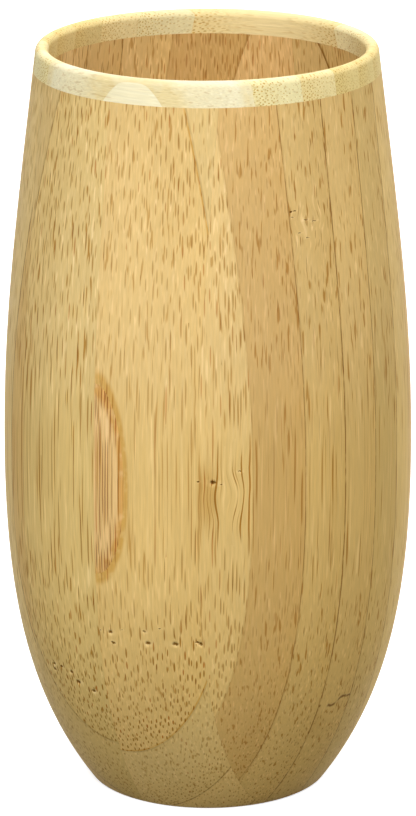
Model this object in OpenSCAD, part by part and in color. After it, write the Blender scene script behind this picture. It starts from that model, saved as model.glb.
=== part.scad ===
// Tumbler turned from laminated bamboo, in millimetres, standing on the table with its axis on Z.
// The body is one block of four boards glued side by side. Each board is a stack of strips with upright
// fibres, glued face to face, and the stacks are staggered. The pale lip is a ring turned from a second,
// uncoloured board, whose strips lie flat. It is butt-glued on top of the body.
// The side that is seen first faces -Y.

/* [Cup] */
// Height of the cup
cup_h = 139; // [128:1:150]
// Width across the widest part of the belly
belly_d = 75; // [70:0.5:76]
// Height of the widest part above the table
belly_h = 62.6; // [56:0.2:68]
// Width across the rounded lip
rim_d = 62; // [58:0.5:66]
// Width of the flat foot
foot_d = 43.8; // [40:0.2:48]
// Round edge where the foot turns into the side
foot_ease = 1.2; // [0.6:0.1:2.4]

/* [Side curve] */
// Upright pull of the side above the belly
belly_up = 24.4; // [16:0.2:32]
// Upright pull of the side below the belly
belly_down = 30; // [22:0.5:36]
// Length of the pull that leads down from the lip
rim_pull = 34.5; // [26:0.5:42]
// How far that pull flares out from the lip
rim_flare = 4.25; // [2:0.25:6]
// How far the pull at the foot rises
foot_rise = 15; // [11:0.5:18]
// How far the pull at the foot leans out
foot_lean = 10.9; // [8:0.1:13]

/* [Inside] */
// Wall at the belly
wall = 3; // [2.7:0.1:3.8]
// Wall at the lip, which is fully rounded
lip_w = 2.4; // [2:0.1:3.2]
// Floor at the middle of the cup
floor_t = 5; // [4:0.5:8]
// Width of the flat middle of the floor
floor_d = 24; // [16:1:30]
// Level pull of the bowl's curve from the floor
bowl_out = 17; // [13:0.5:19]
// Upright pull of the bowl's curve below the belly
bowl_down = 33; // [27:0.5:36]

/* [Body block] */
// Turn of the strips' broad faces about the cup's axis
body_turn = -123; // [-180:1:180]
// Thickness of a strip in the body
body_strip_t = 8.1; // [8:0.1:11]
// Width of a board, as wide as its strips
board_w = 18.75; // [17:0.25:20]
// Seam of the left board that lies next in front of the axis
left_seam = 4.6; // [0:0.1:8]
// The same seam of the board left of the middle
left_middle_seam = 5.3; // [4.7:0.1:8]
// The same seam of the board right of the middle
right_middle_seam = 4.6; // [0:0.1:8]
// The same seam of the right board
right_seam = 2.1; // [0:0.1:8]

/* [Lip ring] */
// Height of the pale ring
ring_h = 4.5; // [3:0.1:8]
// Turn of the ring's strips about the cup's axis
ring_turn = -115; // [-180:1:180]
// Thickness of a strip in the ring
ring_strip_t = 6.97; // [6.9:0.01:9]
// Seam of the ring that lies next in front of the axis
ring_seam = 3; // [0:0.1:6.9]

/* [Hidden] */
// Steps of the round stretches
$fn = 256;
upper_steps = 12;
lower_steps = 20;
lip_steps = 12;
ease_steps = 5;
// Overrun of every cut
over = 1;
// Thinnest sliver that the lathe can leave of a strip
least_t = 0.2;

belly_r = belly_d / 2;
rim_r = rim_d / 2;
foot_r = foot_d / 2;
floor_r = floor_d / 2;
seam_h = cup_h - ring_h;

// The lip is a half round about its own centre, and leans in as the side does.
lip_r = lip_w / 2;
lip_centre = [rim_r - lip_r, cup_h - lip_r];
lip_turn = atan2(rim_flare, rim_pull);
// The foot's edge is an arc that meets the flat foot and the side without a corner.
foot_turn = atan2(foot_rise, foot_lean);
foot_inset = foot_ease * tan(foot_turn / 2);

// Radii that decide which strips the hollow cuts: at the belly, under the ring and at the lip
hollow_r = belly_r - wall;
top_hollow_r = radius_at(seam_h, inner_side());
mouth_r = rim_r - lip_w;
// Widest reach of the ring from the axis
ring_reach = radius_at(seam_h, outer_side());

// Boards from left to right
board_names = ["left", "left_middle", "right_middle", "right"];
board_seams = [left_seam, left_middle_seam, right_middle_seam, right_seam];
board_edges = [-belly_r - over, -board_w, 0, board_w, belly_r + over];
board_colours = [[0.81, 0.66, 0.42], [0.86, 0.70, 0.44], [0.85, 0.68, 0.42], [0.76, 0.61, 0.37]];
ring_colour = [0.93, 0.86, 0.64];

// Every body strip as name, board, two broad faces, and its lowest and highest point
body_strips = [
    for (b = [0:len(board_names) - 1])
        let (strips = stack(seams(board_seams[b], body_strip_t, board_reach(b))))
            for (k = [0:len(strips) - 1])
                each cut_by_hollow(str(board_names[b], "_strip_", k + 1), b, strips[k])
];

// Every ring strip as name, two broad faces, and its two ends
ring_strips = [
    let (strips = stack(seams(ring_seam, ring_strip_t, ring_reach)))
        for (k = [0:len(strips) - 1])
            each cut_by_mouth(str("ring_strip_", k + 1), strips[k])
];

// Points of a curve that leaves a towards b and reaches d from c
function curve(a, b, c, d, steps) = [
    for (i = [0:steps])
        let (t = i / steps, s = 1 - t)
            s * s * s * a + 3 * t * s * s * b + 3 * t * t * s * c + t * t * t * d
];

// Points of an arc from one angle to another
function arc(centre, r, from, to, steps) = [
    for (i = [0:steps])
        let (a = from + (to - from) * i / steps)
            centre + r * [cos(a), sin(a)]
];

function all_but_first(list) = [for (i = [1:len(list) - 1]) list[i]];

function backwards(list) = [for (i = [len(list) - 1:-1:0]) list[i]];

function foot_edge() = arc([foot_r - foot_inset, foot_ease], foot_ease, -90, foot_turn - 90, ease_steps);

function lower_side() = curve(
    [foot_r, 0] + foot_inset * [cos(foot_turn), sin(foot_turn)],
    [foot_r + foot_lean, foot_rise],
    [belly_r, belly_h - belly_down],
    [belly_r, belly_h],
    lower_steps
);

function upper_side(r, r_end) = curve(
    [r, belly_h],
    [r, belly_h + belly_up],
    r_end + [rim_flare, -rim_pull],
    r_end,
    upper_steps
);

function lip_end(side) = lip_centre + side * lip_r * [cos(lip_turn), sin(lip_turn)];

function outer_side() = upper_side(belly_r, lip_end(1));

function inner_side() = upper_side(belly_r - wall, lip_end(-1));

function bowl() = curve(
    [belly_r - wall, belly_h],
    [belly_r - wall, belly_h - bowl_down],
    [floor_r + bowl_out, floor_t],
    [floor_r, floor_t],
    lower_steps
);

// Half section of the whole cup, from the middle of the foot up the outside and down the inside
function outline() = concat(
    [[0, 0]],
    foot_edge(),
    all_but_first(lower_side()),
    all_but_first(outer_side()),
    all_but_first(arc(lip_centre, lip_r, lip_turn, lip_turn + 180, lip_steps)),
    all_but_first(backwards(inner_side())),
    all_but_first(bowl()),
    [[0, floor_t]]
);

function radius_at(height, side) = lookup(height, [for (p = side) [p[1], p[0]]]);

// Seams between strips t thick, from front to back, as far as the wood reaches from the axis
function seams(middle_seam, t, reach) =
    let (
        front = ceil((reach - least_t - middle_seam) / t) - 1,
        back = floor((least_t - reach - middle_seam) / t) + 1
    )
        [for (j = [front:-1:back]) middle_seam + j * t];

// The strips between these seams, each as the places of its far and near face
function stack(cuts) =
    let (faces = concat([belly_r + over], cuts, [-belly_r - over]))
        [for (k = [1:len(faces) - 1]) [faces[k], faces[k - 1]]];

function furthest(pair) = max(abs(pair[0]), abs(pair[1]));

function board_reach(b) =
    let (nearest = min(abs(board_edges[b]), abs(board_edges[b + 1])))
        sqrt(belly_r * belly_r - nearest * nearest);

// A strip runs from foot to ring if its outer corner stays in the wall. The hollow leaves two pieces of the
// others, or only the one under the floor.
function cut_by_hollow(name, b, faces) =
    let (corner = norm([furthest(faces), furthest([board_edges[b], board_edges[b + 1]])]))
        corner > hollow_r ? [[name, b, faces, 0, seam_h]]
        : corner < top_hollow_r + least_t ? [[name, b, faces, 0, belly_h]]
        : [[str(name, "_foot"), b, faces, 0, belly_h], [str(name, "_top"), b, faces, belly_h, seam_h]];

// The mouth leaves a left and a right piece of every ring strip but those at the front and back.
function cut_by_mouth(name, faces) =
    furthest(faces) > mouth_r ? [[name, faces, -belly_r - over, belly_r + over]]
    : [[str(name, "_left"), faces, -belly_r - over, 0], [str(name, "_right"), faces, 0, belly_r + over]];

module turned_cup() {
    rotate_extrude() polygon(outline());
}

// What the lathe leaves of one straight strip
module turned_strip(turn, faces, side_a, side_b, low, high) {
    intersection() {
        turned_cup();
        rotate([0, 0, turn])
            translate([faces[0], side_a, low])
                cube([faces[1] - faces[0], side_b - side_a, high - low]);
    }
}

module body_strip(s) {
    b = s[1];
    color(board_colours[b])
        turned_strip(body_turn, s[2], board_edges[b], board_edges[b + 1], s[3], s[4]);
}

module ring_strip(s) {
    color(ring_colour)
        turned_strip(ring_turn, s[1], s[2], s[3], seam_h, cup_h + over);
}

for (s = body_strips) {
    body_strip(s);
}
for (s = ring_strips) {
    ring_strip(s);
}
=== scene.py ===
import math

import bmesh
import bpy
from mathutils import Matrix, Vector


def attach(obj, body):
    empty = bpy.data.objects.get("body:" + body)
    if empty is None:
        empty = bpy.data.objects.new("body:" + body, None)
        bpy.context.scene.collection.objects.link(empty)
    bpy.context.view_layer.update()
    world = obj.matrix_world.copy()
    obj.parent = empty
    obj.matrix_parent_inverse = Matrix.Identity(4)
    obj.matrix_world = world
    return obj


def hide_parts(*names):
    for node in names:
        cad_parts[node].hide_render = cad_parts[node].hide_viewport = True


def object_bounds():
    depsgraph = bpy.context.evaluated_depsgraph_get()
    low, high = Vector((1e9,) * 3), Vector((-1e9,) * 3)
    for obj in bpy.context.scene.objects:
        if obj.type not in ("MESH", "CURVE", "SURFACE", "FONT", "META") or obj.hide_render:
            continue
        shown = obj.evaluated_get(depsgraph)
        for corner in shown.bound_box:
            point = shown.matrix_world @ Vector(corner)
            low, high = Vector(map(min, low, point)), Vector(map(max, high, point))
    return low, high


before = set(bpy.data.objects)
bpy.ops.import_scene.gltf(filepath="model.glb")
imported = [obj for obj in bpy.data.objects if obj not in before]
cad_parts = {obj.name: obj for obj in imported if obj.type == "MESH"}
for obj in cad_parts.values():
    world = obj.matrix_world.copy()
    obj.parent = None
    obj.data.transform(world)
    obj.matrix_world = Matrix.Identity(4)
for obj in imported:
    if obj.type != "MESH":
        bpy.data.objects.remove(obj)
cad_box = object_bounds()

mm = 0.001

# The turned blank. The whole cup is turned on a lathe from one glued blank, so every strip shares one
# section: a barrel side that closes in at the foot, a rounded lip, a thin wall and a rounded bowl inside.
cup_h = cad_box[1].z - cad_box[0].z
belly_r = (cad_box[1].x - cad_box[0].x) / 2
belly_h = 62.6 * mm
rim_r = 31 * mm
foot_r = 21.9 * mm
foot_ease = 1.2 * mm
belly_up = 24.4 * mm
belly_down = 30 * mm
rim_pull = Vector((4.25, -34.5)) * mm
foot_pull = Vector((10.9, 15)) * mm
wall = 3 * mm
lip_r = 1.2 * mm
floor_t = 5 * mm
floor_r = 12 * mm
bowl_out = 17 * mm
bowl_down = 33 * mm
# How finely the blank is divided: round the axis, and along each stretch of its section.
lathe_steps = 288
ease_steps = 6
foot_steps = 54
shoulder_steps = 60
lip_steps = 16
wall_steps = 48
bowl_steps = 44
# A point this near to a saw cut lies on it, and points nearer to each other than the weld become one.
on_plane = 1e-7
weld = 0.004 * mm


def curve(a, b, c, d, steps):
    """Points of a curve that leaves a towards b and reaches d from c, without its first point."""
    points = []
    for i in range(1, steps + 1):
        t = i / steps
        s = 1 - t
        points.append(s**3 * a + 3 * t * s * s * b + 3 * t * t * s * c + t**3 * d)
    return points


def arc(centre, r, start, end, steps):
    """Points of an arc from one angle to another, without its first point."""
    turns = [start + (end - start) * i / steps for i in range(1, steps + 1)]
    return [centre + r * Vector((math.cos(a), math.sin(a))) for a in turns]


def section():
    """Half section of the cup as radius and height, from the foot up the outside and down the inside."""
    lean = math.atan2(foot_pull.y, foot_pull.x)
    inset = foot_ease * math.tan(lean / 2)
    foot_corner = Vector((foot_r, 0))
    ease_centre = Vector((foot_r - inset, foot_ease))
    ease_end = foot_corner + inset * Vector((math.cos(lean), math.sin(lean)))
    tip = math.atan2(rim_pull.x, -rim_pull.y)
    lip_centre = Vector((rim_r - lip_r, cup_h - lip_r))
    half = lip_r * Vector((math.cos(tip), math.sin(tip)))
    outside = Vector((belly_r, belly_h))
    inside = Vector((belly_r - wall, belly_h))
    up = Vector((0, belly_up))
    down = Vector((0, belly_down))
    bowl_down_pull = inside - Vector((0, bowl_down))
    bowl_out_pull = Vector((floor_r + bowl_out, floor_t))
    points = [Vector((foot_r - inset, 0))]
    points += arc(ease_centre, foot_ease, -math.pi / 2, lean - math.pi / 2, ease_steps)
    points += curve(ease_end, foot_corner + foot_pull, outside - down, outside, foot_steps)
    points += curve(outside, outside + up, lip_centre + half + rim_pull, lip_centre + half, shoulder_steps)
    points += arc(lip_centre, lip_r, tip, tip + math.pi, lip_steps)
    wall_line = curve(inside, inside + up, lip_centre - half + rim_pull, lip_centre - half, wall_steps)
    points += wall_line[-2::-1] + [inside]
    points += curve(inside, bowl_down_pull, bowl_out_pull, Vector((floor_r, floor_t)), bowl_steps)
    return points


def turned_blank(first_turn):
    """The whole cup as one closed mesh, spun from the section."""
    bm = bmesh.new()
    rows = []
    for p in section():
        row = []
        for i in range(lathe_steps):
            a = first_turn + 2 * math.pi * i / lathe_steps
            row.append(bm.verts.new((p.x * math.cos(a), p.x * math.sin(a), p.y)))
        rows.append(row)
    foot_middle = bm.verts.new((0, 0, 0))
    floor_middle = bm.verts.new((0, 0, floor_t))
    for i in range(lathe_steps):
        j = (i + 1) % lathe_steps
        for low, high in zip(rows, rows[1:]):
            bm.faces.new((low[i], low[j], high[j], high[i]))
        bm.faces.new((foot_middle, rows[0][j], rows[0][i]))
        bm.faces.new((floor_middle, rows[-1][i], rows[-1][j]))
    for face in bm.faces:
        face.smooth = True
    return bm


def cut(bm, point, normal):
    """Saws off what lies on the normal's side of a plane, and closes the cut with a flat face."""
    geometry = bm.verts[:] + bm.edges[:] + bm.faces[:]
    bmesh.ops.bisect_plane(
        bm, geom=geometry, dist=on_plane, plane_co=point, plane_no=normal, clear_outer=True
    )
    bmesh.ops.remove_doubles(bm, verts=bm.verts, dist=weld)
    rim = [e for e in bm.edges if e.is_boundary]
    for edge in rim:
        edge.smooth = False
    if rim:
        bmesh.ops.triangle_fill(bm, edges=rim, use_beauty=True, normal=normal)


def sawn(bm, *planes):
    """A copy of a blank that is cut by these planes, each a point and the side that goes."""
    piece = bm.copy()
    for point, normal in planes:
        if piece.faces:
            cut(piece, point, normal)
    return piece


# The body block. Four boards stand side by side, and each is a stack of strips of carbonised bamboo with
# upright fibres, glued face to face. The stacks are staggered, so the seams don't run from board to board.
# The block was set on the lathe a hair out of true, so strips and fibres lean half a degree.
body_turn = math.radians(-123)
body_strip_t = 8.1 * mm
board_w = 18.75 * mm
outer_board_w = 23 * mm
ring_h = 4.5 * mm
seam_h = cup_h - ring_h
body_lean = math.radians(0.5)
side_axis = Vector((-math.sin(body_turn), math.cos(body_turn), 0))
up_axis = Vector((0, 0, 1))
front_axis = side_axis.cross(up_axis)
depth_axis = math.cos(body_lean) * front_axis + math.sin(body_lean) * up_axis
grain_axis = depth_axis.cross(side_axis)
belly_middle = belly_h * up_axis


def put(tree, kind, inputs=(), **settings):
    """Adds a shader node. Each input is a socket with its value, or with the output that feeds it."""
    made = tree.nodes.new("ShaderNode" + kind)
    for name, value in settings.items():
        setattr(made, name, value)
    for socket, value in inputs:
        if isinstance(value, bpy.types.NodeSocket):
            tree.links.new(value, made.inputs[socket])
        else:
            made.inputs[socket].default_value = value
    return made


def maths(tree, operation, a, b=0.0, c=0.0):
    """One sum of plain values."""
    return put(tree, "Math", [(0, a), (1, b), (2, c)], operation=operation).outputs[0]


def times(tree, a, *others):
    """Multiplies plain values in turn."""
    for b in others:
        a = maths(tree, "MULTIPLY", a, b)
    return a


def vector(tree, operation, a, b=(0, 0, 0)):
    """One sum of places or colours."""
    made = put(tree, "VectorMath", [(0, a), (1, b)], operation=operation)
    return made.outputs["Value" if operation in ("LENGTH", "DOT_PRODUCT") else "Vector"]


def spin(tree, place, angle):
    """Turns a place about the fibres."""
    made = put(tree, "VectorRotate", [("Vector", place), ("Angle", angle)], rotation_type="Z_AXIS")
    return made.outputs[0]


def ramp(tree, value, low, high, start=0.0, end=1.0):
    """A smooth step from start to end as the value goes from low to high."""
    inputs = [("Value", value), ("From Min", low), ("From Max", high), ("To Min", start), ("To Max", end)]
    return put(tree, "MapRange", inputs, interpolation_type="SMOOTHSTEP").outputs[0]


def fall(tree, value, low, high):
    """A smooth fall from one to nothing as the value goes from low to high."""
    return ramp(tree, value, low, high, 1.0, 0.0)


def tint(tree, share, a, b, blend="MIX"):
    """Goes from colour a to colour b, or to a times b, by a share."""
    inputs = [(0, share), (6, a), (7, b)]
    return put(tree, "Mix", inputs, data_type="RGBA", blend_type=blend).outputs[2]


def stain(tree, wood, share, colour):
    """Multiplies the wood by a colour, by a share."""
    return tint(tree, share, wood, colour, "MULTIPLY")


def noise(tree, place, stretch, detail=2.0, output=0):
    """Cloudy noise with this many cells to the millimetre each way."""
    scaled = vector(tree, "MULTIPLY", place, stretch)
    made = put(tree, "TexNoise", [("Vector", scaled), ("Scale", 1.0), ("Detail", detail)])
    return made.outputs[output]


def wander(tree, place, stretch, reach, detail=1.0):
    """A slow drift to either side, half its reach at most."""
    shift = noise(tree, place, stretch, detail, "Color")
    return vector(tree, "MULTIPLY", vector(tree, "SUBTRACT", shift, (0.5,) * 3), reach)


def group(name, inputs, outputs):
    """An empty node group with these sockets, and its inner input and output nodes."""
    tree = bpy.data.node_groups.new(name, "ShaderNodeTree")
    for label, kind, value in inputs:
        socket = tree.interface.new_socket(label, in_out="INPUT", socket_type="NodeSocket" + kind)
        if value is not None:
            socket.default_value = value
    for label, kind in outputs:
        tree.interface.new_socket(label, in_out="OUTPUT", socket_type="NodeSocket" + kind)
    return tree, tree.nodes.new("NodeGroupInput").outputs, tree.nodes.new("NodeGroupOutput").inputs


def bent_grain(tree, given, seeded):
    """Lets the fibres wander, and bends them round a knot along the slope that the turned side has there.
    Returns the place as the fibres see it, how near the knot is, and how brown the wood beside it is."""
    drift = wander(tree, seeded, stretch=(0.05, 0.05, 0.04), reach=(0.4, 0.4, 0.0))
    waver = wander(tree, seeded, stretch=(0.7, 0.7, 0.25), reach=(0.08, 0.08, 0.0))
    drift = vector(tree, "ADD", drift, waver)
    from_knot = vector(tree, "SUBTRACT", given["Place"], given["Knot"])
    knot_size = put(tree, "CombineXYZ", [(0, 1.0), (1, given["Knot width"]), (2, given["Knot length"])])
    in_knot = vector(tree, "MULTIPLY", vector(tree, "DIVIDE", from_knot, knot_size.outputs[0]), (0, 1, 1))
    off_knot = vector(tree, "LENGTH", in_knot)
    near_knot = fall(tree, off_knot, 0.5, 2.4)
    swirl = maths(tree, "SUBTRACT", noise(tree, seeded, (0.2, 0.2, 0.1), detail=1.0), 0.5)
    swirl = times(tree, near_knot, given["Knot swirl"], swirl)
    pinch = put(tree, "SeparateXYZ", [(0, from_knot)]).outputs[1]
    pinch = times(tree, fall(tree, off_knot, 0.0, 1.0), given["Knot pinch"], pinch)
    bend = maths(tree, "ADD", swirl, pinch)
    sunk = times(tree, bend, given["Knot slope"])
    bend = put(tree, "CombineXYZ", [(0, sunk), (1, bend)]).outputs[0]
    run = vector(tree, "ADD", vector(tree, "ADD", seeded, drift), bend)
    beside = vector(tree, "MULTIPLY", vector(tree, "SUBTRACT", in_knot, (0, 0.75, 0)), (0, 1.8, 0.75))
    brown = times(tree, fall(tree, vector(tree, "LENGTH", beside), 0.3, 1.2), given["Knot shade"])
    return run, near_knot, brown


# Layers of fibre bundles in a strip: how far apart they stand and how thick they are in millimetres, and
# where the layer starts and ends as a share of the strip's thickness. They stand in rows at 45 degrees.
bundle_layers = (
    (1.06, 0.16, -9, 0.3),
    (0.86, 0.15, 0.3, 0.62),
    (0.68, 0.145, 0.62, 9),
)
bundle_turn = math.pi / 4


def fibre_bundles(tree, given, depth, run):
    """Masks of the dark cores of the bundles, of the paler sheaths round them and of the few red cores.
    A bundle belongs to the layer that its middle lies in."""
    packed = vector(tree, "DIVIDE", run, given["Spacing"])
    dark = 0.0
    pale = 0.0
    red = 0.0
    for spacing, radius, start, end in bundle_layers:
        cell = vector(tree, "MULTIPLY", spin(tree, packed, bundle_turn), (1 / spacing,) * 3)
        inputs = [("Vector", cell), ("Scale", 1.0), ("Randomness", 0.6)]
        dots = put(tree, "TexVoronoi", inputs, voronoi_dimensions="2D")
        lot = put(tree, "SeparateColor", [(0, dots.outputs["Color"])]).outputs
        within = vector(tree, "SUBTRACT", cell, dots.outputs["Position"])
        within = spin(tree, vector(tree, "MULTIPLY", within, (1, 1, 0)), -bundle_turn)
        inward = put(tree, "SeparateXYZ", [(0, within)]).outputs[0]
        inward = times(tree, inward, spacing, given["Spacing"])
        layer = maths(tree, "DIVIDE", maths(tree, "SUBTRACT", depth, inward), given["Thickness"])
        inside = maths(tree, "GREATER_THAN", layer, start)
        inside = times(tree, inside, maths(tree, "LESS_THAN", layer, end))
        size = maths(tree, "MULTIPLY_ADD", lot[0], 0.5, 0.75)
        size = times(tree, given["Bundle size"], radius / spacing, size)
        core = maths(tree, "DIVIDE", vector(tree, "LENGTH", within), size)
        sheath = vector(tree, "LENGTH", vector(tree, "MULTIPLY", within, (0.45, 1, 0)))
        sheath = maths(tree, "DIVIDE", sheath, size)
        spot = times(tree, fall(tree, core, 0.65, 1.2), inside)
        halo = times(tree, fall(tree, sheath, 0.8, 1.9), inside)
        dark = maths(tree, "MAXIMUM", dark, spot)
        pale = maths(tree, "MAXIMUM", pale, halo)
        red = maths(tree, "MAXIMUM", red, times(tree, spot, ramp(tree, lot[1], 0.82, 0.97)))
    return dark, pale, red


# Stains, as shares of the wood's own colour, and two marks of painted light. The painted gold is no stain:
# it warms the wood round this height in millimetres, full and gone at these distances from it, so that the
# top above it looks paler, as if it caught a sheen. The dark of the pits is painted shade in the holes.
streak_brown = (0.58, 0.38, 0.13, 1)
streak_pale = (1.2, 1.24, 1.42, 1)
painted_belly_gold = (0.97, 0.955, 0.86, 1)
gold_h = 50.0
gold_full = 18.0
gold_gone = 44.0
cut_end = (0.9, 0.89, 0.8, 1)
knot_brown = (0.78, 0.68, 0.5, 1)
node_dark = (0.36, 0.27, 0.15, 1)
pit_rim = (1.12, 1.16, 1.3, 1)
# Painted shade inside the pits, far darker than their shallow dents are shaded.
painted_pit_shade = (0.26, 0.18, 0.07, 1)


def soft_wood(tree, given, seeded, run, to_skin, along):
    """The wood between the bundles, with fine streaks along the fibres and slow changes of tone, and a
    golden warmth painted round the belly that stands in for light: it leaves the top paler, as if the top
    caught a sheen. Returns its colour and the streaks."""
    streak = noise(tree, run, (2.1, 2.1, 0.035), detail=1.0)
    fine = noise(tree, run, (3.2, 3.2, 0.25), detail=1.0)
    cloud = noise(tree, seeded, (0.07, 0.07, 0.03))
    wood = stain(tree, given["Wood"], ramp(tree, to_skin, 0.2, 1.0), given["Skin shade"])
    tone = maths(tree, "MULTIPLY_ADD", fine, 0.22, 0.89)
    tone = times(tree, tone, maths(tree, "MULTIPLY_ADD", cloud, 0.24, 0.88))
    wood = vector(tree, "MULTIPLY", wood, tone)
    wood = stain(tree, wood, times(tree, ramp(tree, streak, 0.6, 0.7), given["Streaks"]), streak_brown)
    wood = stain(tree, wood, times(tree, fall(tree, streak, 0.28, 0.38), given["Streaks"]), streak_pale)
    # Painted light: the belly is warmed towards gold, so the top above it looks paler as if it caught a
    # sheen.
    from_gold = maths(tree, "ABSOLUTE", maths(tree, "SUBTRACT", along, gold_h))
    painted_gold = times(tree, fall(tree, from_gold, gold_full, gold_gone), given["Tan"])
    return stain(tree, wood, painted_gold, painted_belly_gold), streak


def node_strokes(tree, given, seeded, along):
    """A mask of the short wavy strokes that an old node leaves across the fibres."""
    knot_height = put(tree, "SeparateXYZ", [(0, given["Knot"])]).outputs[2]
    wave = maths(tree, "MULTIPLY_ADD", noise(tree, seeded, (0.35, 0.35, 0.05)), 4.0, -2.0)
    off_node = maths(tree, "SUBTRACT", along, maths(tree, "ADD", knot_height, wave))
    line = fall(tree, maths(tree, "ABSOLUTE", off_node), 0.1, 0.42)
    strokes = ramp(tree, noise(tree, seeded, (0.5, 0.1, 0.03), detail=0.0), 0.36, 0.48)
    return times(tree, line, strokes, given["Node line"])


def glue_stains(tree, given, seeded, depth, across):
    """A mask of the glue that has soaked into the faces of the strip and stains them here and there."""
    to_face = maths(tree, "SUBTRACT", given["Thickness"], depth)
    to_side = maths(tree, "MINIMUM", across, maths(tree, "SUBTRACT", given["Width"], across))
    soaked = times(tree, given["Glue depth"], 0.4)
    skin_glue = fall(tree, to_face, soaked, given["Glue depth"])
    inner_glue = ramp(tree, depth, soaked, given["Glue depth"], given["Inner glue share"], 0.0)
    side_glue = ramp(tree, to_side, 0.01, 0.06, 0.4, 0.0)
    broken = ramp(tree, noise(tree, seeded, (0.4, 0.4, 0.4)), 0.32, 0.55, 0.4, 1.0)
    glue = maths(tree, "MAXIMUM", maths(tree, "MAXIMUM", skin_glue, inner_glue), side_glue)
    return times(tree, glue, given["Glue share"], broken)


# How far the streaks stand above the turned face, and how far the rest lies below it, in millimetres.
streak_raised = 0.02
core_sunk = 0.015
glue_sunk = 0.02
node_sunk = 0.05
pit_sunk = 0.08
# The satin of the lacquer, and how much rougher it is over the cores and the streaks.
satin = 0.5
core_rough = 0.12
streak_rough = 0.1
# How far one seed moves a strip in the noise, in millimetres.
seed_shift = (0.0, 37.3, 11.7)


def bamboo_group():
    """Solid bamboo. Place is in millimetres: x from the strip's inner face to its skin face, y across, and z
    along the fibres. Bundles of fibre run along z, sparse at the inner face and close under the skin. The
    colours of skin, fibre and glue are shares of the wood's colour, and heights are in millimetres."""
    tree, given, made = group(
        "bamboo",
        [
            ("Place", "Vector", None), ("Seed", "Float", 0.0),
            ("Thickness", "Float", body_strip_t / mm), ("Width", "Float", board_w / mm),
            ("Wood", "Color", (0.6, 0.4, 0.2, 1)), ("Skin shade", "Color", (0.9, 0.9, 0.8, 1)),
            ("Fibre", "Color", (0.5, 0.4, 0.2, 1)), ("Red fibre", "Color", (0.7, 0.3, 0.1, 1)),
            ("Pale fibre", "Color", (1.1, 1.1, 1.2, 1)), ("Glue", "Color", (0.3, 0.2, 0.1, 1)),
            ("Inner share", "Float", 0.6), ("Skin share", "Float", 1.0), ("Pale share", "Float", 0.5),
            ("Spacing", "Float", 1.0), ("Bundle size", "Float", 1.0), ("Streaks", "Float", 0.6),
            ("Tan", "Float", 0.0), ("End grain", "Float", 0.0), ("End shade", "Float", 1.0),
            ("Side share", "Float", 0.8), ("End share", "Float", 1.1),
            ("Glue share", "Float", 0.6), ("Inner glue share", "Float", 0.2), ("Glue depth", "Float", 0.04),
            ("Knot", "Vector", None), ("Knot width", "Float", 0.01), ("Knot length", "Float", 0.01),
            ("Knot pinch", "Float", 0.0), ("Knot swirl", "Float", 0.0), ("Knot slope", "Float", 0.0),
            ("Knot shade", "Float", 0.0), ("Node line", "Float", 0.0), ("Pits", "Float", 0.0),
            ("Pit halo", "Float", 0.0),
        ],
        [("Color", "Color"), ("Roughness", "Float"), ("Height", "Float")],
    )
    depth, across, along = put(tree, "SeparateXYZ", [(0, given["Place"])]).outputs
    offset = vector(tree, "MULTIPLY", seed_shift, given["Seed"])
    seeded = vector(tree, "ADD", given["Place"], offset)
    to_skin = maths(tree, "DIVIDE", depth, given["Thickness"])
    run, near_knot, brown = bent_grain(tree, given, seeded)
    dark, pale, red = fibre_bundles(tree, given, depth, run)
    wood, streak = soft_wood(tree, given, seeded, run, to_skin, along)
    # Cut ends of the fibres drink more of the finish and look darker than their sides.
    end_cut = ramp(tree, given["End grain"], 0.08, 0.6)
    wood = stain(tree, wood, times(tree, end_cut, given["End shade"]), cut_end)
    wood = stain(tree, wood, times(tree, pale, given["Pale share"]), given["Pale fibre"])
    share = ramp(tree, to_skin, 0.0, 0.9, given["Inner share"], given["Skin share"])
    share = times(tree, share, ramp(tree, end_cut, 0.0, 1.0, given["Side share"], given["End share"]))
    share = times(tree, share, maths(tree, "MULTIPLY_ADD", near_knot, 0.6, 1.0))
    fibre = tint(tree, red, given["Fibre"], given["Red fibre"])
    wood = stain(tree, wood, times(tree, dark, share), fibre)
    wood = stain(tree, wood, brown, knot_brown)
    strokes = node_strokes(tree, given, seeded, along)
    wood = stain(tree, wood, strokes, node_dark)
    glue = glue_stains(tree, given, seeded, depth, across)
    wood = stain(tree, wood, glue, given["Glue"])
    wood = stain(tree, wood, given["Pit halo"], pit_rim)
    # The pits are darkened with painted shade, as the inside of a deep hole would be.
    wood = stain(tree, wood, given["Pits"], painted_pit_shade)
    tree.links.new(wood, made["Color"])
    rough = maths(tree, "MULTIPLY_ADD", dark, core_rough, satin)
    rough = maths(tree, "ADD", rough, times(tree, streak, streak_rough))
    tree.links.new(rough, made["Roughness"])
    height = maths(tree, "MULTIPLY_ADD", dark, -core_sunk, times(tree, streak, streak_raised))
    height = maths(tree, "MULTIPLY_ADD", glue, -glue_sunk, height)
    height = maths(tree, "MULTIPLY_ADD", strokes, -node_sunk, height)
    height = maths(tree, "MULTIPLY_ADD", given["Pits"], -pit_sunk, height)
    tree.links.new(height, made["Height"])
    return tree


def pit_group():
    """A small hole where a bud or a cross fibre left the culm. Place and Centre are in millimetres."""
    tree, given, made = group(
        "pit",
        [("Place", "Vector", None), ("Centre", "Vector", None), ("Size", "Float", 0.3)],
        [("Mask", "Float"), ("Halo", "Float")],
    )
    ragged = wander(tree, given["Place"], (2.5,) * 3, (0.0, 0.5, 0.5), 2.0)
    place = vector(tree, "ADD", given["Place"], ragged)
    off = vector(tree, "MULTIPLY", vector(tree, "SUBTRACT", place, given["Centre"]), (0.0, 0.75, 1.15))
    share = maths(tree, "DIVIDE", vector(tree, "LENGTH", off), given["Size"])
    tree.links.new(fall(tree, share, 0.5, 1.2), made["Mask"])
    tree.links.new(ramp(tree, share, 1.2, 3.2, 0.8, 0.0), made["Halo"])
    return tree


bamboo = bamboo_group()
pit = pit_group()


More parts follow.
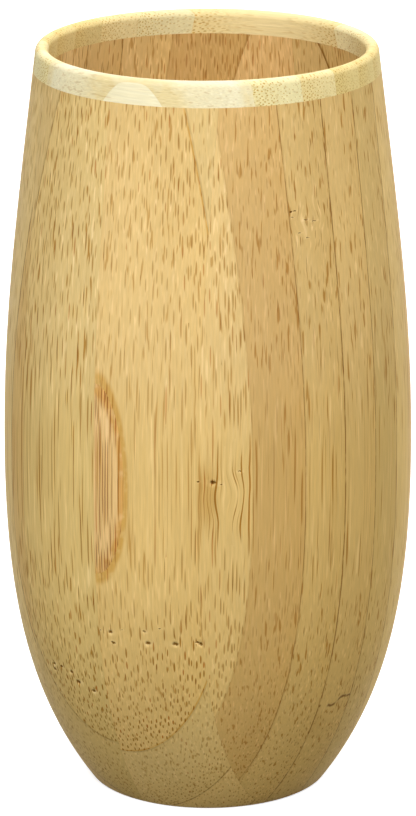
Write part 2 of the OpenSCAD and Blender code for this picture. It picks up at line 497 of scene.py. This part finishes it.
def bamboo_material(name, place_of, grain, seed, looks, pits=()):
    """The finish of one strip: solid bamboo under a thin satin lacquer. Grain is the way its fibres run."""
    made = bpy.data.materials.new(name)
    made.use_nodes = True
    tree = made.node_tree
    tree.nodes.clear()
    place = place_of(tree)
    holes = 0.0
    halo = 0.0
    for y, z, size in pits:
        one = put(tree, "Group", [("Place", place), ("Centre", (0.0, y, z)), ("Size", size)], node_tree=pit)
        holes = maths(tree, "MAXIMUM", holes, one.outputs["Mask"])
        halo = maths(tree, "MAXIMUM", halo, one.outputs["Halo"])
    facing = vector(tree, "DOT_PRODUCT", put(tree, "TexCoord").outputs["Normal"], grain)
    inputs = [("Place", place), ("Seed", seed), ("End grain", maths(tree, "ABSOLUTE", facing))]
    inputs += [("Pits", holes), ("Pit halo", halo)]
    wood = put(tree, "Group", inputs + list(looks.items()), node_tree=bamboo)
    bump = put(tree, "Bump", [("Height", wood.outputs["Height"]), ("Strength", 1.0), ("Distance", mm)])
    shader = put(tree, "BsdfPrincipled", [
        ("Base Color", wood.outputs["Color"]), ("Roughness", wood.outputs["Roughness"]),
        ("Normal", bump.outputs[0]), ("IOR", 1.45), ("Specular IOR Level", 0.06),
        ("Coat Weight", 0.03), ("Coat Roughness", 0.35), ("Coat IOR", 1.5),
    ])
    out = put(tree, "OutputMaterial")
    tree.links.new(shader.outputs[0], out.inputs[0])
    return made


# A pit's depth, the reach of its slope and the reach of the finer faces round it are shares of its size.
pit_depth = 0.8
pit_reach = 2.5
fine_reach = 3.5
fine_cuts = 4
least_edge = 0.12 * mm
outward = 0.3 * belly_r
most_corners = 5


def dent(bm, side, height, size):
    """Sinks a small pit into the outside of a strip, and makes the faces round it finer first."""
    def off(place):
        return math.hypot(place.dot(side_axis) - side, place.dot(grain_axis) - height)

    def outside(place, normal):
        return place.dot(depth_axis) > 0 and normal.x * place.x + normal.y * place.y > outward

    bm.normal_update()
    faces = [f for f in bm.faces if f.smooth and off(f.calc_center_median()) < fine_reach * size]
    faces = [f for f in faces if outside(f.calc_center_median(), f.normal)]
    faces = [f for f in faces if min(e.calc_length() for e in f.edges) > least_edge]
    near_pit = set(faces)
    edges = [e for e in bm.edges if near_pit.intersection(e.link_faces)]
    edges = [e for e in edges if all(f.smooth for f in e.link_faces)]
    bmesh.ops.subdivide_edges(bm, edges=edges, cuts=fine_cuts, use_grid_fill=True)
    bm.normal_update()
    for vert in bm.verts:
        share = off(vert.co) / size
        if share < pit_reach and outside(vert.co, vert.normal):
            inward = -Vector((vert.co.x, vert.co.y, 0)).normalized()
            vert.co += pit_depth * size * math.exp(-share * share) * inward


def finish_piece(bm, name, material):
    """Cleans the edges of a sawn strip, and makes it the piece that stands for its node."""
    bmesh.ops.dissolve_degenerate(bm, edges=bm.edges, dist=weld)
    crowded = [f for e in bm.edges if len(e.link_faces) > 2 for f in e.link_faces]
    spurs = [f for f in crowded if any(e.is_boundary for e in f.edges)]
    bmesh.ops.delete(bm, geom=spurs, context="FACES")
    bmesh.ops.holes_fill(bm, edges=[e for e in bm.edges if e.is_boundary])
    bmesh.ops.poke(bm, faces=[f for f in bm.faces if len(f.verts) > most_corners])
    bmesh.ops.recalc_face_normals(bm, faces=bm.faces)
    mesh = bpy.data.meshes.new(name)
    bm.to_mesh(mesh)
    bm.free()
    mesh.materials.append(material)
    piece = bpy.data.objects.new("turned_" + name, mesh)
    bpy.context.scene.collection.objects.link(piece)
    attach(piece, "root")
    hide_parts(name)


def seams(middle_seam, t, reach):
    """Seams between strips t thick, from front to back, as far as the wood reaches from the axis."""
    least = 0.2 * mm
    front = math.ceil((reach - least - middle_seam) / t) - 1
    back = math.floor((least - reach - middle_seam) / t) + 1
    return [middle_seam + j * t for j in range(front, back - 1, -1)]


def strip_planes(cuts, k, middle, axis):
    """The saw cuts in front of and behind a strip, counted from the front of its stack."""
    planes = []
    if k:
        planes.append((middle + cuts[k - 1] * axis, axis))
    if k < len(cuts):
        planes.append((middle + cuts[k] * axis, -axis))
    return planes


# Each strip takes its grain from another place in the noise, this many seeds on from the last one.
seed_step = 1.37
# The finish of every body strip, where the strip has no look of its own, with the painted golden warmth
# round the belly at full strength.
bundles = {
    "Skin shade": (0.96, 0.94, 0.88, 1), "Fibre": (0.52, 0.36, 0.14, 1), "Red fibre": (0.64, 0.34, 0.13, 1),
    "Pale fibre": (1.07, 1.1, 1.2, 1), "Glue": (0.42, 0.3, 0.15, 1), "Inner share": 0.66, "Skin share": 0.88,
    "Pale share": 0.6, "Glue share": 0.95, "Glue depth": 0.2, "Tan": 1.0,
}
tones = {
    "honey": (0.80, 0.56, 0.24, 1), "pale": (0.79, 0.575, 0.25, 1), "amber": (0.71, 0.465, 0.185, 1),
    "wheat": (0.735, 0.50, 0.20, 1), "straw": (0.715, 0.50, 0.195, 1), "olive": (0.66, 0.455, 0.175, 1),
    "brown": (0.62, 0.42, 0.16, 1), "toast": (0.62, 0.39, 0.14, 1), "lens": (0.76, 0.52, 0.245, 1),
    "sand": (0.72, 0.515, 0.222, 1), "tan": (0.685, 0.445, 0.178, 1),
}
# Each board has the place of its middle seam, and of its left and right edge.
boards = {
    "left": (4.6 * mm, -board_w - outer_board_w, -board_w),
    "left_middle": (5.3 * mm, -board_w, 0),
    "right_middle": (4.6 * mm, 0, board_w),
    "right": (2.1 * mm, board_w, board_w + outer_board_w),
}
# The wood's tone in each strip, from front to back.
strip_tones = {
    "left": "wheat pale honey wheat honey wheat wheat toast amber",
    "left_middle": "pale sand wheat honey wheat amber honey toast amber wheat",
    "right_middle": "lens honey sand honey amber honey wheat honey olive olive wheat",
    "right": "honey tan wheat wheat olive straw amber wheat brown",
}
quiet = {"Inner share": 0.12, "Skin share": 0.35, "Pale share": 0.25}
inside_fibres = {"Pale fibre": (1.13, 1.17, 1.26, 1), "Pale share": 1.0, "Glue share": 0.4}
# Knots and old nodes. Their place is across from the strip's right edge and up, in millimetres.
knots = {
    "right_middle_strip_2": {"Knot": (0, 8.5, 35.0), "Knot width": 12.0, "Knot length": 3.5},
    "left_middle_strip_1": {"Knot": (0, 8.0, 24.5), "Knot width": 8.0, "Knot length": 3.0},
    "right_strip_1": {
        "Knot": (0, 18.9, 65.1), "Knot width": 3.4, "Knot length": 5.5, "Knot pinch": -0.7,
        "Knot swirl": 1.5, "Knot slope": -0.77, "Knot shade": 0.75,
    },
    "right_strip_3": {
        "Knot": (0, 11.5, 113.5), "Knot width": 2.5, "Knot length": 3.5, "Knot pinch": -0.4,
        "Knot swirl": 1.5, "Knot slope": -1.9, "Knot shade": 0.2,
    },
    "right_strip_4": {
        "Knot": (0, 10.3, 21.0), "Knot width": 3.0, "Knot length": 5.0, "Knot swirl": 1.5,
        "Knot shade": 0.5, "Node line": 1.0,
    },
}
# Strips that look different from the rest of their board.
own_looks = {
    "left_strip_7": inside_fibres,
    "left_middle_strip_1": {"Inner share": 1.0, "Streaks": 0.9, "Glue share": 0.6},
    "left_middle_strip_2": {"End share": 0.8},
    "left_middle_strip_8": inside_fibres,
    "left_middle_strip_9": inside_fibres,
    "right_middle_strip_1": {
        "Fibre": (0.38, 0.22, 0.12, 1), "Pale fibre": (1.2, 1.22, 1.4, 1), "Pale share": 1.0,
        "Inner share": 1.0, "Side share": 1.0, "Spacing": 0.62, "Bundle size": 1.15, "Streaks": 0.8,
        "Glue": (0.84, 0.69, 0.46, 1), "Glue depth": 0.2, "Glue share": 1.0,
    },
    "right_middle_strip_2": {
        "Glue": (0.8, 0.64, 0.36, 1), "Glue share": 0.9, "Inner glue share": 0.9, "End share": 1.9,
        "End shade": 0.2,
    },
    "right_middle_strip_3": {
        "Inner glue share": 0.5, "Glue share": 0.7, "End share": 0.8, "End shade": 0.0,
    },
    "right_middle_strip_4": {"End share": 0.8, "End shade": 0.4},
    "right_middle_strip_10": {"Glue share": 0.3},
    "right_strip_1": {"Glue share": 0.2, "Skin shade": (1.0, 1.0, 1.0, 1)},
    "right_strip_2": {
        "Glue share": 0.75, "Inner share": 0.48, "Skin share": 0.55, "Bundle size": 0.8, "Streaks": 0.7,
        "Side share": 0.75, "Skin shade": (1.02, 1.0, 0.95, 1),
    },
    "right_strip_3": {
        "Glue depth": 0.3, "Glue share": 1.0, "Inner share": 0.46, "Skin share": 0.6, "Bundle size": 0.85,
        "Streaks": 0.8, "Side share": 0.7, "End shade": 0.5,
    },
    "right_strip_4": quiet | {"Glue depth": 0.24, "Streaks": 0.8},
    "right_strip_5": quiet | {"Glue depth": 0.24, "Streaks": 0.8},
    "right_strip_6": quiet,
}
# Pits, each with its place to the right of the cup's middle, its height and its size in millimetres.
pit_places = {
    "right_middle_strip_2": [
        (2.4, 37.6, 0.36), (2.8, 35.6, 0.3), (9.6, 36.4, 0.38), (14.4, 36.7, 0.4), (18.5, 36.9, 0.36),
        (9.1, 38.7, 0.24), (0.4, 37.6, 0.14), (4.9, 38.5, 0.12), (12.0, 39.6, 0.12), (17.9, 37.2, 0.26),
    ],
    "left_middle_strip_1": [
        (-13.0, 27.3, 0.34), (-13.0, 26.2, 0.34), (-10.7, 27.5, 0.24),
        (-8.2, 27.1, 0.34), (-6.6, 25.4, 0.4), (-3.1, 24.5, 0.34),
    ],
    "right_strip_1": [(21.1, 67.7, 0.38), (18.9, 67.9, 0.16), (24.9, 69.7, 0.18), (22.3, 67.4, 0.14)],
    "right_strip_3": [
        (28.8, 115.4, 0.15), (29.2, 115.5, 0.1), (29.0, 114.4, 0.1), (30.4, 113.7, 0.12),
        (31.2, 113.3, 0.12), (30.0, 111.5, 0.1), (30.8, 110.5, 0.1),
    ],
}


def body_place(sparse_face, right_edge):
    """Builds the place in a body strip: from its sparse face, across from the right edge, and up."""
    turn = Matrix((-depth_axis, -side_axis, grain_axis)).to_euler()
    start = sparse_face + depth_axis.dot(belly_middle)

    def build(tree):
        where = put(tree, "TexCoord").outputs["Object"]
        return put(tree, "Mapping", [
            ("Vector", where), ("Scale", (1 / mm,) * 3), ("Rotation", turn),
            ("Location", (start / mm, right_edge / mm, 0)),
        ]).outputs[0]
    return build


blank = turned_blank(body_turn)
body_blank = sawn(blank, (seam_h * up_axis, up_axis))
count = 0
for board, (middle_seam, left_edge, right_edge) in boards.items():
    reach = math.sqrt(belly_r**2 - min(abs(left_edge), abs(right_edge)) ** 2)
    cuts = seams(middle_seam, body_strip_t, reach)
    sizes = {"Thickness": body_strip_t / mm, "Width": (right_edge - left_edge) / mm}
    edge_planes = []
    if left_edge > -belly_r:
        edge_planes.append((left_edge * side_axis, -side_axis))
    if right_edge < belly_r:
        edge_planes.append((right_edge * side_axis, side_axis))
    stack = sawn(body_blank, *edge_planes)
    for k, tone in enumerate(strip_tones[board].split()):
        count += 1
        name = f"{board}_strip_{k + 1}"
        looks = bundles | {"Wood": tones[tone]} | knots.get(name, {}) | own_looks.get(name, {}) | sizes
        sparse_face = cuts[k - 1] if k else cuts[0] + body_strip_t
        place_of = body_place(sparse_face, right_edge)
        pits = pit_places.get(name, ())
        holes = [(right_edge / mm - side, height, size) for side, height, size in pits]
        material = bamboo_material(name, place_of, grain_axis, count * seed_step, looks, holes)
        strip = sawn(stack, *strip_planes(cuts, k, belly_middle, depth_axis))
        for side, height, size in pits:
            dent(strip, side * mm, height * mm, size * mm)
        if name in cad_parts:
            finish_piece(strip, name, material)
            continue
        # The hollow of the cup cuts this strip in two.
        finish_piece(sawn(strip, (belly_middle, up_axis)), name + "_foot", material)
        finish_piece(sawn(strip, (belly_middle, -up_axis)), name + "_top", material)
        strip.free()
    stack.free()
body_blank.free()

# The lip ring. It is turned from a board of natural bamboo that wasn't steamed, so it stays pale. Its strips
# lie flat, so the front shows their sides and the ends show dots. The ring is butt-glued on the body.
ring_turn = math.radians(-115)
ring_strip_t = 6.97 * mm
ring_seam = 3 * mm
ring_reach = 31.4 * mm
ring_board_w = 60 * mm
above_rim = 20 * mm
ring_depth_axis = Vector((math.cos(ring_turn), math.sin(ring_turn), 0))
ring_side_axis = Vector((-math.sin(ring_turn), math.cos(ring_turn), 0))
natural = {
    "Skin shade": (0.98, 0.95, 0.88, 1), "Fibre": (0.68, 0.52, 0.25, 1), "Red fibre": (0.72, 0.5, 0.22, 1),
    "Pale fibre": (1.06, 1.08, 1.15, 1), "Glue": (0.8, 0.7, 0.5, 1), "Inner share": 0.45, "Skin share": 0.9,
    "Side share": 0.08, "End share": 1.1, "End shade": 0.2, "Spacing": 0.74, "Bundle size": 1.1,
    "Streaks": 0.3, "Pale share": 0.5, "Glue share": 0.3, "Glue depth": 0.04,
    "Thickness": ring_strip_t / mm, "Width": ring_board_w / mm,
}
ring_tones = {
    "ivory": (0.87, 0.79, 0.54, 1), "cream": (0.88, 0.78, 0.45, 1), "corn": (0.85, 0.71, 0.37, 1),
    "straw": (0.79, 0.63, 0.28, 1),
}
ring_strip_tones = "ivory ivory cream corn straw straw straw corn cream corn"
ring_own_looks = {
    "ring_strip_2": {
        "Glue": (0.96, 0.88, 0.7, 1), "Glue depth": 1.6, "Glue share": 0.8, "Inner glue share": 1.0,
        "End share": 0.25, "End shade": 0.0,
    },
}


def ring_place(sparse_face):
    """Builds the place in a ring strip: from its sparse face at the back, down from the board's edge, and
    along its level fibres."""
    def build(tree):
        where = put(tree, "TexCoord").outputs["Object"]
        level = put(tree, "Mapping", [
            ("Vector", where), ("Scale", (1 / mm,) * 3), ("Rotation", (0, 0, -ring_turn)),
            ("Location", (-sparse_face / mm, 0, 0)),
        ]).outputs[0]
        edge = (cup_h + above_rim) / mm
        return put(tree, "Mapping", [
            ("Vector", level), ("Rotation", (math.pi / 2, 0, 0)), ("Location", (0, edge, 0)),
        ]).outputs[0]
    return build


ring_blank = sawn(blank, (seam_h * up_axis, -up_axis))
blank.free()
axis_point = Vector((0, 0, 0))
cuts = seams(ring_seam, ring_strip_t, ring_reach)
for k, tone in enumerate(ring_strip_tones.split()):
    count += 1
    name = f"ring_strip_{k + 1}"
    looks = natural | {"Wood": ring_tones[tone]} | ring_own_looks.get(name, {})
    back_face = cuts[k] if k < len(cuts) else cuts[-1] - ring_strip_t
    material = bamboo_material(name, ring_place(back_face), ring_side_axis, count * seed_step, looks)
    strip = sawn(ring_blank, *strip_planes(cuts, k, axis_point, ring_depth_axis))
    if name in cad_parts:
        finish_piece(strip, name, material)
        continue
    # The mouth of the cup cuts this strip in two.
    finish_piece(sawn(strip, (axis_point, ring_side_axis)), name + "_left", material)
    finish_piece(sawn(strip, (axis_point, -ring_side_axis)), name + "_right", material)
    strip.free()
ring_blank.free()

# The room. The cup stands on a plain pale floor in front of a white surround. A wide soft box hangs high in
# front of it, with a weak fill at the left and soft boxes behind that light its back.
floor_size = 6.0
floor_shown = (0.8, 0.8, 0.8, 1)
floor_bounce = (0.30, 0.29, 0.19, 1)
floor_glow = 0.75
surround_light = 0.06


def seen_plainly(tree):
    """One for rays that show the surround: straight from the camera, off gloss or through glass."""
    path = put(tree, "LightPath")
    seen = maths(tree, "MAXIMUM", path.outputs["Is Camera Ray"], path.outputs["Is Glossy Ray"])
    return maths(tree, "MAXIMUM", seen, path.outputs["Is Transmission Ray"])


bpy.ops.mesh.primitive_plane_add(size=floor_size)
floor = bpy.context.object
floor.name = "floor"
paint = bpy.data.materials.new("floor_paint")
paint.use_nodes = True
tree = paint.node_tree
tree.nodes.clear()
seen = seen_plainly(tree)
matt = put(tree, "BsdfDiffuse", [("Color", tint(tree, seen, floor_bounce, floor_shown))])
glow = put(tree, "Emission", [("Color", (1, 1, 1, 1)), ("Strength", times(tree, seen, floor_glow))])
both = put(tree, "AddShader", [(0, matt.outputs[0]), (1, glow.outputs[0])])
tree.links.new(both.outputs[0], put(tree, "OutputMaterial").inputs[0])
floor.data.materials.append(paint)

world = bpy.data.worlds.new("surround")
bpy.context.scene.world = world
world.use_nodes = True
tree = world.node_tree
tree.nodes.clear()
strength = ramp(tree, seen_plainly(tree), 0.0, 1.0, surround_light, 1.0)
sky = put(tree, "Background", [("Color", (1, 1, 1, 1)), ("Strength", strength)])
tree.links.new(sky.outputs[0], put(tree, "OutputWorld").inputs[0])


def soft_box(name, turn, rise, power, size=0.6):
    """A square lamp one metre from the cup, turned to the camera's right and raised by these degrees."""
    turn = math.radians(turn)
    rise = math.radians(rise)
    away = Vector((math.sin(turn) * math.cos(rise), -math.cos(turn) * math.cos(rise), math.sin(rise)))
    data = bpy.data.lights.new(name, "AREA")
    data.size = size
    data.energy = power
    made = bpy.data.objects.new(name, data)
    made.location = away + cup_h / 2 * up_axis
    made.rotation_euler = away.to_track_quat("Z", "Y").to_euler()
    bpy.context.scene.collection.objects.link(made)


soft_box("key", turn=-6, rise=55, power=10.45, size=0.8)
soft_box("fill", turn=-20, rise=35, power=2.6)
soft_box("right_back", turn=120, rise=30, power=6.0)
soft_box("left_back", turn=-160, rise=40, power=4.2)

# The camera stands where the photograph was taken from, a little above the rim, and looks down at the cup.
# Its lens, tilt and roll were fitted to the cup's outline in the photograph.
camera_place = Vector((0.04, -850, 328.6)) * mm
pitch = math.radians(16.895)
roll = math.radians(-0.105)
photo_h = 816
focal_pixels = 4824.2
sensor_h = 36.0
nearest_shown = 0.05
lens = bpy.data.cameras.new("camera")
lens.sensor_fit = "VERTICAL"
lens.sensor_height = sensor_h
lens.lens = focal_pixels / photo_h * sensor_h
lens.clip_start = nearest_shown
camera = bpy.data.objects.new("camera", lens)
bpy.context.scene.collection.objects.link(camera)
bpy.context.scene.camera = camera
across = Vector((1, 0, 0))
forward = Vector((0, math.cos(pitch), -math.sin(pitch)))
camera_right = math.cos(roll) * across + math.sin(roll) * across.cross(forward)
camera_up = camera_right.cross(forward)
turn = Matrix((camera_right, camera_up, -forward)).transposed()
camera.matrix_world = Matrix.Translation(camera_place) @ turn.to_4x4()
bpy.context.scene.view_settings.view_transform = "Standard"
